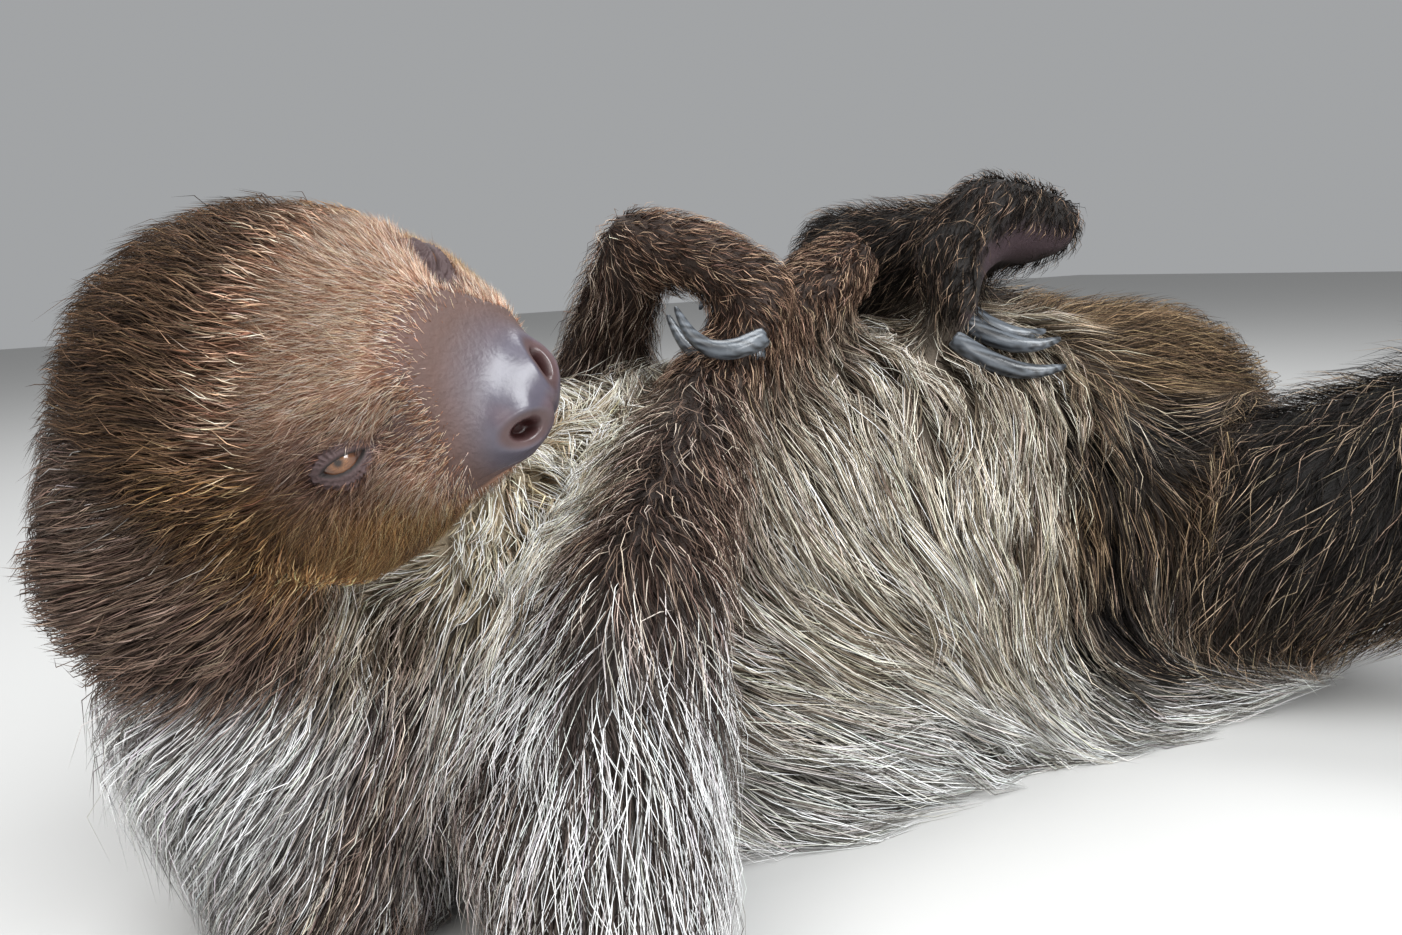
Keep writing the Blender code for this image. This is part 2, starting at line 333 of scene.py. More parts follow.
def drawInTriangles(draw, chance, count):
    # which triangles, and a place in each as shares of its corners
    pick = draw.choice(len(chance), count, p=chance / chance.sum())
    u, v = draw.random((2, count))
    flip = u + v > 1
    u, v = np.where(flip, 1 - u, u), np.where(flip, 1 - v, v)
    return pick, np.stack([1 - u - v, u, v], axis=1)


def triangleAreas(a, b, c):
    return np.linalg.norm(np.cross(b - a, c - a), axis=1) / 2


def sampleNode(name):
    # points spread evenly over one CAD node
    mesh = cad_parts[name].data
    mesh.calc_loop_triangles()
    points = readPoints(mesh)
    corners = np.empty(len(mesh.loop_triangles) * 3, np.int32)
    mesh.loop_triangles.foreach_get("vertices", corners)
    triangles = points[corners.reshape(-1, 3)]
    area = triangleAreas(*triangles.transpose(1, 0, 2))
    count = int(area.sum() / skinSpec["samplePatch"]) + skinSpec["leastSamples"]
    pick, place = drawInTriangles(np.random.default_rng(seed), area, count)
    return (triangles[pick] * place[:, :, None]).sum(1)


def regionShares(points, blur):
    # how far each point belongs to each region of the body
    samples = [sampleNode(name) for name in regions]
    owner = np.repeat(range(len(regions)), [len(rows) for rows in samples])
    shares = np.zeros((len(points), len(regions)))
    shares[np.arange(len(points)), owner[nearest(makeTree(np.concatenate(samples)), points)]] = 1
    return blur(shares, skinSpec["regionBlur"])


def share(shares, *names):
    return sum(shares[:, regions.index(name)] for name in names)


def hairDepth(points, normals, shares):
    spec = depthSpec
    depth = shares @ np.array([coatDepth[name] for name in regions], float)
    head = toHead(points)
    fore = head[:, 0] - 0.25 * np.abs(head[:, 1]) + 0.1 * head[:, 2]
    face = mix(coatDepth["head"], spec["face"], ramp(fore, *spec["faceFore"]))
    face = mix(face, spec["snout"], ramp(fore, *spec["snoutFore"]))
    depth = mix(depth, face, share(shares, "head"))
    onNeck, height = share(shares, "neck"), points[:, 2]
    depth = depth - spec["nape"] * onNeck * ramp(height, *spec["napeHeight"])
    depth = depth + spec["ruff"] * onNeck * bell(height, spec["ruffHeight"], spec["ruffSpread"])
    under = ramp(normals[:, 2], *spec["underTurn"]) * ramp(height, *spec["underHeight"])
    return mix(depth, spec["under"], under)


# snout, mouth and nostrils

snoutSpec = {
    # the snout keeps its breadth right up to the nose, and reach is where all shaping of it fades out
    "middle": (14, 0, -12), "reach": (50, 40), "fore": (-2, 20),
    "broad": 0.16, "tall": 0.2, "long": 1.2, "line": -10,
}


def nearSnout(head):
    # 1 on the snout, 0 on everything farther off
    return ramp(np.linalg.norm(head - snoutSpec["middle"], axis=1), *snoutSpec["reach"])


def shapeSnout(points):
    spec = snoutSpec
    head = toHead(points)
    grow = ramp(head[:, 0], *spec["fore"]) * nearSnout(head)
    head[:, 1] *= 1 + spec["broad"] * grow
    head[:, 2] = spec["line"] + (head[:, 2] - spec["line"]) * (1 + spec["tall"] * grow)
    head[:, 0] += spec["long"] * grow
    return fromHead(head)


mouthSpec = {
    # the last value below is how wide the painted shade along the mouth's groove spreads
    "height": -21.5, "sway": 1.2, "swayLength": 9, "groove": 1.3, "width": 1.1, "creaseShadeWidth": 0.9,
    "fore": (-4, 2), "sides": (26, 20),
    "fold": 0.7, "foldHeight": -16.8, "foldWidth": 0.9, "foldFore": (17, 22),
}


def aboveMouth(head):
    line = mouthSpec["height"] + mouthSpec["sway"] * np.sin(head[:, 0] / mouthSpec["swayLength"])
    return head[:, 2] - line


def shapeMouth(points, normals):
    spec = mouthSpec
    head = toHead(points)
    gap = bell(aboveMouth(head), 0, spec["width"])
    along = ramp(head[:, 0], *spec["fore"])
    inFront = ramp(np.abs(head[:, 1]), *spec["sides"])
    fold = bell(head[:, 2], spec["foldHeight"], spec["foldWidth"]) * ramp(head[:, 0], *spec["foldFore"])
    depth = (spec["groove"] * gap * along * inFront + spec["fold"] * fold) * nearSnout(head)
    return points - normals * depth[:, None]


nostrilSpec = {
    "place": (31, 7.4, -6.2), "aside": -0.3, "twist": 1.4, "halfLength": 4.3, "halfWidth": 2.5,
    "long": (0.6, -0.7, -0.4), "outward": (0.7, 0.25, 0.62), "around": 13,
    # depths in mm, and edges in radii of the opening
    "pit": 4.2, "pitEdge": (0.3, 1.05), "funnel": 1.0, "funnelEdge": (0.8, 1.8),
    "rim": 0.25, "rimEdge": 1.8, "rimSpread": 0.4, "swell": 1.5, "swellReach": 9,
    # the groove between the two
    "groove": 0.7, "grooveWidth": 1.1, "grooveFore": (24, 29), "grooveHeight": (-2, -10),
}


def nostrilPlace(side):
    # the nose is held a little askew
    spec = nostrilSpec
    return np.array(spec["place"]) * (1, side, 1) + (0, spec["aside"], spec["twist"] * side)


def nostrilRadius(head, side):
    # 1 at the edge of the opening, and the way out of it
    outward = unit(np.array(nostrilSpec["outward"]) * (1, side, 1))
    long = np.array(nostrilSpec["long"]) * (1, side, 1)
    long = unit(long - outward * (long @ outward))
    across = np.cross(outward, long)
    away = head - nostrilPlace(side)
    radius = np.hypot(away @ long / nostrilSpec["halfLength"], away @ across / nostrilSpec["halfWidth"])
    close = np.linalg.norm(away, axis=1) < nostrilSpec["around"]
    return np.where(close, radius, nostrilSpec["around"]), outward


def shapeNostrils(points):
    spec = nostrilSpec
    head = toHead(points)
    for side in (1, -1):
        radius, outward = nostrilRadius(head, side)
        pit = spec["pit"] * (1 - ramp(radius, *spec["pitEdge"]))
        pit += spec["funnel"] * (1 - ramp(radius, *spec["funnelEdge"]))
        rim = spec["rim"] * bell(radius, spec["rimEdge"], spec["rimSpread"])
        swell = spec["swell"] * near(head, nostrilPlace(side), spec["swellReach"])
        head = head + outward * (rim + swell - pit)[:, None]
    groove = bell(head[:, 1], 0, spec["grooveWidth"]) * ramp(head[:, 0], *spec["grooveFore"])
    groove = groove * ramp(head[:, 2], *spec["grooveHeight"])
    head[:, 0] -= spec["groove"] * groove * nearSnout(head)
    return fromHead(head)


# eyelids

lidSpec = {
    # the way the eye faces and the run of its opening, on the head's axes, and the ball's radius
    "gaze": (0.53, 0.63, 0.575), "along": (0.66, -0.75, 0.01), "ball": 6.8,
    "open": {-1: (1.45, 1.3), 1: (0.0, 0.0)},      # right eye half shut, left eye shut
    "halfLength": 4.8, "bow": 0.75,
    "around": 18, "shaped": 22, "farOff": 15,      # how far from the ball any of this reaches
    # the lid's stand over the ball, its thickness and round edge, and how far it dips inside the opening
    "stand": 0.35, "thick": 1.0, "round": 1.1, "tuck": 1.6, "tuckWidth": 0.5, "full": 3.2, "reach": 8.5,
    "fold": 0.24, "foldPitch": 1.7, "foldsStart": (0.5, 1.6), "foldsEnd": (4.5, 7),
    "crease": 0.24, "creases": 23,
    # where a shut eye's lids meet
    "seam": 1.5, "seamWidth": 0.42, "seamTilt": 0.12, "seamEnds": (5.6, 4.2),
}


def eyeAxes(side):
    gaze = unit(np.array(lidSpec["gaze"]) * (1, side, 1))
    along = np.array(lidSpec["along"]) * (1, side, 1)
    along = unit(along - gaze * (along @ gaze))
    up = np.cross(gaze, along)
    return gaze, along, up * np.sign(up[2])


def eyePolar(head, side):
    # arc lengths over the ball along the opening and across it, and the distance from the ball's middle
    gaze, along, up = eyeAxes(side)
    centre = toHead(eyePlace[side][None])[0]
    away = head - centre
    front = away @ gaze
    x = np.arctan2(away @ along, front) * lidSpec["ball"]
    y = np.arctan2(away @ up, front) * lidSpec["ball"]
    return x, y, np.linalg.norm(away, axis=1), away


def lidDistance(x, y, side):
    # how far outside the opening, below 0 inside
    high, low = lidSpec["open"][side]
    across = np.clip(1 - (x / lidSpec["halfLength"]) ** 2, 0, None) ** lidSpec["bow"]
    edge = np.maximum(y - high * across, -low * across - y)
    beyond = np.hypot(np.abs(x) - lidSpec["halfLength"], y)
    return np.where(np.abs(x) < lidSpec["halfLength"], edge, beyond)


def lidGap(head, side):
    # the same for any point of the head
    x, y, far, away = eyePolar(head, side)
    close = (far < lidSpec["around"]) & (np.hypot(x, y) < lidSpec["around"])
    return np.where(close, lidDistance(x, y, side), lidSpec["farOff"])


def shapeLids(points):
    spec, ball = lidSpec, lidSpec["ball"]
    head = toHead(points)
    for side in (1, -1):
        x, y, far, away = eyePolar(head, side)
        out = lidDistance(x, y, side)
        close = (far < spec["shaped"]) & (np.hypot(x, y) < spec["around"])
        lid = ball + spec["stand"] + spec["thick"] * np.sqrt(np.clip(out / spec["round"], 0, 1))
        folds = np.sin(out / spec["foldPitch"] * 2 * math.pi) * spec["fold"]
        turn = np.arctan2(y, x)
        creases = np.sin(turn * spec["creases"] + 1.5 * np.sin(turn * 5) + out) * spec["crease"]
        lid = lid + (folds + creases) * ramp(out, *spec["foldsStart"]) * (1 - ramp(out, *spec["foldsEnd"]))
        if spec["open"][side][0]:
            lid = np.where(out < 0, ball - spec["tuck"] * ramp(out, 0, -spec["tuckWidth"]), lid)
        else:
            seam = spec["seam"] * bell(y + spec["seamTilt"] * x, 0, spec["seamWidth"])
            lid = lid - seam * ramp(np.abs(x), *spec["seamEnds"])
        wanted = mix(lid, far, ramp(out, spec["full"], spec["reach"]))
        scale = np.where(close, wanted / np.maximum(far, 1e-6), 1)
        head = head + away * (scale - 1)[:, None]
    return fromHead(head)


# the skin gets finer where the detail is

fineSpec = {
    # what is finer at each level: the face, then round the eyes and the snout, then the lids and the nose
    "face": {"fore": -16, "halfWidth": 40, "middle": -12, "halfHeight": 42},
    "snout": {"eyes": 19, "fore": 4, "middle": (12, 0, -14), "reach": 32},
    "nose": {"eyes": 13.5, "fore": 17, "height": -24},
}


def fineMask(points, level):
    spec = fineSpec[level]
    head = toHead(points)
    fore, left, up = head.T
    eyes = np.min([np.linalg.norm(head - toHead(eyePlace[side]), axis=1) for side in (1, -1)], axis=0)
    if level == "face":
        beside, above = np.abs(left), np.abs(up - spec["middle"])
        return (fore > spec["fore"]) & (beside < spec["halfWidth"]) & (above < spec["halfHeight"])
    if level == "snout":
        onSnout = np.linalg.norm(head - spec["middle"], axis=1) < spec["reach"]
        return (eyes < spec["eyes"]) | ((fore > spec["fore"]) & onSnout)
    return (eyes < spec["eyes"]) | ((fore > spec["fore"]) & (up > spec["height"]) & (nearSnout(head) > 0))


def refine(skin, chosen):
    # halves the edges whose ends are both chosen
    bm = bmesh.new()
    bm.from_mesh(skin.data)
    bm.verts.ensure_lookup_table()
    edges = [e for e in bm.edges if chosen[e.verts[0].index] and chosen[e.verts[1].index]]
    bmesh.ops.subdivide_edges(bm, edges=edges, cuts=1, use_grid_fill=True)
    bmesh.ops.triangulate(bm, faces=[f for f in bm.faces if len(f.verts) > 4])
    bm.to_mesh(skin.data)
    bm.free()
    skin.data.update()


def makeSkin():
    skin = joinFlesh()
    mesh = skin.data
    blur = Blur(mesh)
    points, normals = readPoints(mesh), readNormals(mesh)
    depth = blur(hairDepth(points, normals, regionShares(points, blur)), skinSpec["depthBlur"])
    points = blur(points - normals * depth[:, None], skinSpec["settle"])
    points[:, 2] = np.maximum(points[:, 2], skinSpec["floorGap"])
    writePoints(mesh, points)
    for level in fineSpec:
        refine(skin, fineMask(readPoints(mesh), level))
        points = readPoints(mesh)
        mask = fineMask(points, level).astype(float)[:, None]
        writePoints(mesh, Blur(mesh)(points, skinSpec["fineSmooth"], mask))
    writePoints(mesh, shapeSnout(readPoints(mesh)))
    writePoints(mesh, shapeMouth(readPoints(mesh), readNormals(mesh)))
    writePoints(mesh, shapeNostrils(readPoints(mesh)))
    writePoints(mesh, shapeLids(readPoints(mesh)))
    bm = bmesh.new()
    bm.from_mesh(mesh)
    bmesh.ops.triangulate(bm, faces=bm.faces[:])
    bm.to_mesh(mesh)
    bm.free()
    mesh.shade_smooth()
    print("skin:", len(mesh.polygons), "triangles")
    return skin


# markings, shared by skin and coat

zoneLook = {
    # root, middle and tip of a strand, then the pale strands; shares of pale and dark strands; length in mm
    "crown": ((38, 28, 22), (68, 50, 38), (94, 72, 54), (116, 91, 69), 0.12, 0.3, 17),
    "face": ((92, 60, 46), (196, 144, 114), (240, 198, 168), (250, 230, 208), 0.34, 0.28, 7),
    "cheek": ((70, 46, 30), (164, 116, 72), (212, 164, 108), (234, 198, 146), 0.28, 0.32, 8),
    "lids": ((44, 31, 29), (84, 62, 56), (118, 92, 84), (156, 128, 118), 0.25, 0.4, 4.5),
    "lobe": ((50, 39, 34), (92, 74, 64), (120, 100, 88), (134, 115, 103), 0.1, 0.25, 18),
    "cream": ((140, 120, 94), (228, 216, 190), (246, 238, 218), (252, 248, 238), 0.4, 0.08, 30),
    "shoulder": ((62, 54, 52), (190, 187, 186), (236, 236, 236), (252, 252, 252), 0.48, 0.2, 46),
    "belly": ((62, 50, 40), (164, 151, 132), (212, 202, 184), (238, 232, 218), 0.3, 0.27, 52),
    "flank": ((66, 60, 54), (176, 173, 165), (222, 219, 213), (244, 244, 241), 0.34, 0.24, 66),
    "arm": ((28, 20, 17), (80, 62, 53), (134, 112, 98), (204, 186, 170), 0.16, 0.42, 20),
    "paleArm": ((38, 30, 27), (120, 110, 104), (224, 221, 218), (250, 250, 250), 0.58, 0.34, 42),
    "rump": ((42, 32, 24), (80, 64, 48), (122, 99, 75), (156, 131, 100), 0.2, 0.38, 38),
    "thigh": ((18, 16, 15), (44, 39, 36), (74, 66, 60), (160, 140, 119), 0.2, 0.55, 34),
    "farLeg": ((16, 13, 12), (44, 36, 31), (80, 66, 57), (150, 126, 106), 0.14, 0.5, 14),
    "paw": ((26, 18, 14), (82, 60, 48), (134, 106, 88), (178, 150, 126), 0.18, 0.4, 11),
}
zones = list(zoneLook)
lookRows = list(zip(*zoneLook.values()))
palettes = [np.array([tint(*colour) for colour in row]) for row in lookRows[:4]]
paleShares, darkShares, zoneLengths = np.array(lookRows[4:], float)
zoneOf = {
    "head": "crown", "neck": "shoulder", "chest": "belly", "belly": "belly", "rump": "rump",
    "upper_arm_right": "arm", "forearm_right": "arm", "hand_right": "paw",
    "upper_arm_left": "arm", "forearm_left": "arm", "hand_left": "paw",
    "thigh_right": "thigh", "shin_right": "thigh", "foot_right": "paw",
    "thigh_left": "thigh", "shin_left": "farLeg", "foot_left": "farLeg", "nose": "face",
}
zoneEdges = {
    # where each marking begins and where it is full, in mm: X, Y and Z are the model's, Fore is the head's
    "lobeFore": (-52, -70), "lobeZ": (156, 140), "napeZ": (93, 98), "faceFore": (-32, -2),
    "cheekSide": (24, 36), "cheekFore": (-42, -12),
    "creamX": (-278, -256), "creamEndX": (-150, -190), "creamZ": (84, 100),
    "flankZ": (74, 34), "hipX": (60, 110), "hipZ": (-5, 15), "behindX": (-285, -312), "behindZ": (92, 82),
    "groinX": (-25, -13), "groinY": (26, 0), "groinZ": (22, 36), "groinTopZ": (130, 122), "thighZ": (80, 40),
    "patchZ": (98, 80), "bandZ": (112, 98), "saddleX": (-62, -25), "saddleZ": (60, 90),
    "paleArmZ": (118, 84), "elbowX": (-222, -240), "elbowZ": (84, 60),
}
headSpots = [
    # zone, regions, strength, centre and radius in mm
    ("lobe", headSet, 0.45, (-279, -71, 146), 12),
    ("crown", headSet + ["neck"], 0.85, (-287, -56, 136), 19),
    ("crown", headSet, 0.6, (-249, -54, 126), 9),
    ("lids", headSet, 1.4, eyePlace[1], 9.5),
    ("lids", headSet, 1.4, eyePlace[-1], 9.5),
]
armSpot = ((-238, -42, 84), 24)
# dark stripe down the near shoulder
bandSpec = {"x": -250, "slant": 0.5, "top": 78, "fall": 60, "width": 20}


def zoneShares(points, shares):
    # how far each point belongs to each zone; a later marking covers the earlier ones
    mixed = np.zeros((len(points), len(zones)))
    for name in regions:
        mixed[:, zones.index(zoneOf[name])] += share(shares, name)

    def cover(zone, amount):
        amount = np.clip(amount, 0, 1)
        mixed[:] *= (1 - amount)[:, None]
        mixed[:, zones.index(zone)] += amount

    edge = edgesOf(zoneEdges)
    x, y, z = points.T
    fore, left, up = toHead(points).T
    wobble = wave(points, 38) * 0.5      # lets the borders wander
    onHead, onNeck = share(shares, *headSet), share(shares, "neck")
    onTrunk, onArms = share(shares, *trunkSet), share(shares, *armSet)
    cover("lobe", onHead * edge("lobeFore", fore) * edge("lobeZ", z))
    cover("lobe", np.minimum(3 * onNeck, 1) * edge("napeZ", z + 4 * wobble))
    cover("face", onHead * edge("faceFore", fore + 6 * wobble))
    cover("cheek", onHead * edge("cheekSide", np.abs(left) - 0.5 * up) * edge("cheekFore", fore + 8 * wobble))
    for zone, names, strength, centre, radius in headSpots:
        cover(zone, strength * share(shares, *names) * near(points, centre, radius))
    cream = edge("creamX", x) * edge("creamEndX", x) * edge("creamZ", z - 0.25 * y)
    cover("cream", (onNeck + onTrunk) * cream)
    cover("arm", 0.75 * onNeck * near(points, *armSpot))
    onHip = edge("hipX", x) * edge("hipZ", z)
    cover("flank", onTrunk * edge("flankZ", z + 10 * wobble) * (1 - 0.95 * onHip))
    cover("flank", 0.6 * onNeck * edge("behindX", x) * edge("behindZ", z))
    groin = edge("groinX", x + 4 * wobble) * edge("groinY", y) * edge("groinTopZ", z)
    cover("thigh", onTrunk * groin * edge("groinZ", z + 8 * wobble))
    cover("rump", 0.45 * share(shares, "thigh_right") * edge("thighZ", z + 10 * wobble))
    patches = ramp(wave(points, 46, 0.7), 0.05, 0.6) * edge("patchZ", z)
    slant = bandSpec["slant"] * np.clip(bandSpec["top"] - z, 0, bandSpec["fall"])
    band = bell(x + slant + 6 * wobble, bandSpec["x"], bandSpec["width"]) * edge("bandZ", z)
    cover("arm", 0.9 * np.maximum(patches, band) * (onNeck + share(shares, "upper_arm_right")))
    saddle = edge("saddleX", x) * edge("saddleZ", z) * ramp(wave(points, 24, 2.2), -0.4, 0.4)
    cover("rump", 0.65 * onTrunk * saddle)
    cover("paleArm", onArms * edge("paleArmZ", z + 8 * wobble) * (1 - 0.8 * band))
    cover("arm", 0.5 * onArms * edge("elbowX", x) * edge("elbowZ", z))
    return mixed / mixed.sum(1, keepdims=True)


bareSpec = {
    "muzzle": 10, "flare": 0.022, "edge": (-8, 6), "mauve": (-15, -3), "chin": (-25, -20),
    "lids": {-1: 2.6, 1: 5.5}, "lidEdge": 1.5, "soleTurn": (0.35, 0.75),
}


def pastMuzzle(head):
    # how far in front of the muzzle's hairline
    return head[:, 0] - bareSpec["muzzle"] - bareSpec["flare"] * head[:, 1] ** 2


def bareShare(points, normals, shares):
    # 1 where the skin carries no hair: muzzle, lids and the sole of the raised foot
    head = toHead(points)
    ragged = pastMuzzle(head) + wave(points, 7) + 1.5 * wave(points, 15, 2.0)
    bare = share(shares, *headSet) * ramp(ragged, *bareSpec["edge"]) * ramp(head[:, 2], *bareSpec["chin"])
    for side in (1, -1):
        reach, soft = bareSpec["lids"][side], bareSpec["lidEdge"]
        bare = np.maximum(bare, 1 - ramp(lidGap(head, side), reach - soft, reach + soft))
    sole = share(shares, "foot_left") * ramp(-normals[:, 2] - 0.5 * normals[:, 1], *bareSpec["soleTurn"])
    return np.clip(np.maximum(bare, sole), 0, 1)


skinTones = {
    "muzzle": (74, 54, 48), "blush": (112, 78, 70), "nose": (72, 68, 78), "nosePink": (88, 70, 72),
    # the near-black tone after lid is painted shade, for the creases along the lids' edges and in the mouth's
    # groove
    # the nostril tone is the nostril's own dark red, deepened to near black as painted shade in its pit
    "nostril": (40, 17, 16), "funnel": (70, 52, 52), "lid": (64, 48, 48), "slit": (24, 17, 16),
    "sole": (50, 35, 40),
}
toneEdges = {
    "padFore": (18, 26), "padUp": (-19.5, -16), "blushFore": (16, 4), "lipFore": (0, 6), "lipSide": (24, 18),
    "funnel": (1.2, 1.8), "nostril": (0.55, 1.0), "lid": (4, 9), "slit": (0.1, 0.7),
}


def skinColours(points, shares, mixed, bare):
    under = mix(palettes[0], palettes[1], 0.25) * 0.8
    warm = mix(palettes[1], palettes[2], 0.2) * 0.85
    tone = mix(mixed @ under, mixed @ warm, 0.55 * mixed[:, zones.index("face")][:, None])
    tones = {name: tint(*colour) for name, colour in skinTones.items()}
    head = toHead(points)
    onHead, onSnout = share(shares, *headSet), nearSnout(head)

    def cover(colour, amount):
        tone[:] = mix(tone, tones[colour], np.clip(amount, 0, 1)[:, None])

    edge = edgesOf(toneEdges)
    mauve = ramp(pastMuzzle(head) + 2 * wave(points, 9), *bareSpec["mauve"])
    cover("muzzle", onHead * mauve * ramp(head[:, 2], *bareSpec["chin"]))
    blush = ramp(wave(points, 13, 1.0), -0.1, 0.6) * edge("blushFore", head[:, 0])
    cover("blush", 0.6 * bare * onHead * blush)
    pad = edge("padFore", head[:, 0] + 0.25 * head[:, 2] + wave(points, 12, 1.5)) * edge("padUp", head[:, 2])
    pad = pad * onSnout
    cover("nose", pad)
    cover("nosePink", 0.7 * pad * ramp(wave(points, 9, 2.0), 0.0, 0.7))
    for side in (1, -1):
        radius, outward = nostrilRadius(head, side)
        cover("funnel", 1 - edge("funnel", radius))
        # the nostril's own dark red, deepened to near black as painted shade in its pit
        cover("nostril", 1 - edge("nostril", radius))
        out = lidGap(head, side)
        cover("lid", 1 - edge("lid", out + wave(points, 5, side)))
        # painted shade, near black, in the crease along each lid's edge
        cover("slit", 1 - edge("slit", np.abs(out)))
    lips = edge("lipFore", head[:, 0]) * edge("lipSide", np.abs(head[:, 1]))
    # painted shade, near black, along the mouth's groove
    cover("slit", 0.8 * bell(aboveMouth(head), 0, mouthSpec["creaseShadeWidth"]) * onHead * lips)
    cover("sole", bare * share(shares, "foot_left"))
    return tone, np.clip(0.2 * bare * onHead + 0.8 * pad, 0, 1)


def dressSkin(skin):
    mesh = skin.data
    blur = Blur(mesh)
    points, normals = readPoints(mesh), readNormals(mesh)
    shares = regionShares(points, blur)
    mixed = zoneShares(points, shares)
    bare = bareShare(points, normals, shares)
    tone, wet = skinColours(points, shares, mixed, bare)
    paint(mesh, "tone", tone)
    paintValue(mesh, "wet", wet)
    corners = np.empty(len(mesh.loops), np.int32)
    mesh.loops.foreach_get("vertex_index", corners)
    comb, whorl = combField(points, normals, shares, blur)
    print("markings painted")
    return {
        "points": points, "normals": normals, "shares": shares, "zones": mixed, "bare": bare,
        "depth": hairDepth(points, normals, shares), "corners": corners.reshape(-1, 3),
        "comb": comb, "whorl": whorl,
    }


# lie of the coat

combOf = {
    # which way the hair runs, before it is laid flat on the skin
    "upper_arm_right": (0.01, -0.22, -0.98), "forearm_right": (-0.05, -0.2, -0.98),
    "upper_arm_left": (-0.45, 0.1, -0.85), "forearm_left": (-0.52, 0.06, -0.83),
    "hand_right": (-0.6, 0.12, -0.74), "hand_left": (0.68, -0.45, -0.59),
    "thigh_right": (-0.52, 0.06, -0.83), "thigh_left": (-0.3, 0.35, -0.88),
    "shin_right": (-0.15, -0.7, -0.7), "shin_left": (-0.5, 0.25, -0.8),
    "foot_right": (0.75, -0.3, -0.5), "foot_left": (-0.75, -0.25, -0.6),
}
combSpec = {
    "neck": (-0.73, 0.2, -0.64), "farNeck": (-0.3, 0.25, -0.9), "lobe": (-0.885, 0.35, -0.29),
    "outward": (0.3, -1.1, 0), "knee": (-0.4, -0.75, -0.4), "kneeAt": (-25, 20, 50), "kneeReach": 45,
    "tailward": (0.15, 0.95), "beforeThigh": -0.15, "settle": 2, "blur": 10,
    "swings": ((0.36, 55, 0), (0.12, 17, 1.3)), "headSwing": (0.3, 11, 3.1),      # angle, size in mm, shift
    "whorlBlur": 6, "whorl": (0.9, 0.4),
}
combEdges = {
    # where each turn of the lie begins and where it is full, in mm
    "partSide": (6, 30), "jawUp": (0, -26), "backFore": (-50, -20),
    "lobeFore": (-48, -66), "lobeY": (10, -30), "neckZ": (96, 112), "farNeckY": (10, 50),
    "tailwardZ": (110, 25), "shoulderX": (-60, -110), "shoulderZ": (115, 85),
    "thighX": (-95, -50), "thighZ": (28, 46), "thighY": (60, 20),
    "rumpX": (12, 40), "rumpZ": (40, 90), "rumpEndX": (100, 150),
    "outwardX": (-110, -30), "outwardY": (30, 0), "outwardZ": (46, 26), "outwardEndX": (-30, 20),
}
combEdge = edgesOf(combEdges)


def headWays(points):
    fore, left, up = toHead(points).T
    across = np.sign(left) * combEdge("partSide", np.abs(left))
    drop = combEdge("jawUp", up)
    back = 1 - 0.55 * drop * combEdge("backFore", fore)
    ways = np.stack([-back, across * (0.35 + 0.75 * drop), -0.9 * drop], axis=1) @ headAxes
    lobe = 0.7 * combEdge("lobeFore", fore) * combEdge("lobeY", points[:, 1])
    return mix(ways, np.array(combSpec["lobe"]), lobe[:, None])


def neckWays(points):
    ways = mix(np.array(combSpec["neck"]), combSpec["lobe"], combEdge("neckZ", points[:, 2])[:, None])
    return mix(ways, combSpec["farNeck"], combEdge("farNeckY", points[:, 1])[:, None])


def trunkWays(points, normals):
    # down each side from the middle of the belly, and more tailward the lower it lies
    x, y, z = points.T
    none = 0 * z
    down = np.cross((1.0, 0, 0), normals) * -np.clip(3 * normals[:, 1] + 0.15, -1, 1)[:, None]
    tailward = mix(*combSpec["tailward"], combEdge("tailwardZ", z))
    tailward = tailward + 0.45 * combEdge("shoulderX", x) * combEdge("shoulderZ", z)
    beforeThigh = combEdge("thighX", x) * combEdge("thighZ", z) * combEdge("thighY", y)
    tailward = mix(tailward, combSpec["beforeThigh"], beforeThigh)
    ways = down + np.stack([tailward, none, none - 0.12], axis=1)
    rump = 0.35 * down + np.stack([none + 1.3, none, 0.1 + 0.4 * combEdge("rumpEndX", x)], axis=1)
    ways = mix(ways, rump, (combEdge("rumpX", x) * combEdge("rumpZ", z))[:, None])
    outward = combEdge("outwardZ", z) * combEdge("outwardY", y) * combEdge("outwardX", x)
    outward = outward * (1 + 2 * combEdge("outwardEndX", x))
    return ways + np.array(combSpec["outward"]) * outward[:, None]


def turned(ways, normals, angles):
    return ways * np.cos(angles)[:, None] + np.cross(normals, ways) * np.sin(angles)[:, None]


def combField(points, normals, shares, blur):
    spec = combSpec
    field = headWays(points) * share(shares, *headSet)[:, None]
    field += neckWays(points) * share(shares, "neck")[:, None]
    field += trunkWays(points, normals) * share(shares, *trunkSet)[:, None]
    for name, way in combOf.items():
        field += np.array(way) * share(shares, name)[:, None]
    knee = near(points, middle("shin_right") + spec["kneeAt"], spec["kneeReach"])
    knee = 1.2 * knee * share(shares, "thigh_right", "shin_right")
    field = mix(field, spec["knee"], np.clip(knee, 0, 1)[:, None])
    for lap in range(spec["settle"]):
        field = field - normals * (field * normals).sum(1, keepdims=True)
        field = unit(blur(unit(field), spec["blur"]))
    angle, size, shift = spec["headSwing"]
    swing = angle * share(shares, "head") * wave(points, size, shift)
    swing += sum(angle * wave(points, size, shift) for angle, size, shift in spec["swings"])
    field = unit(turned(field, normals, swing))
    evenness = np.linalg.norm(blur(field, spec["whorlBlur"]), axis=1)
    return field, ramp(evenness, *spec["whorl"])      # the second is 1 where the coat parts or whorls


# coat

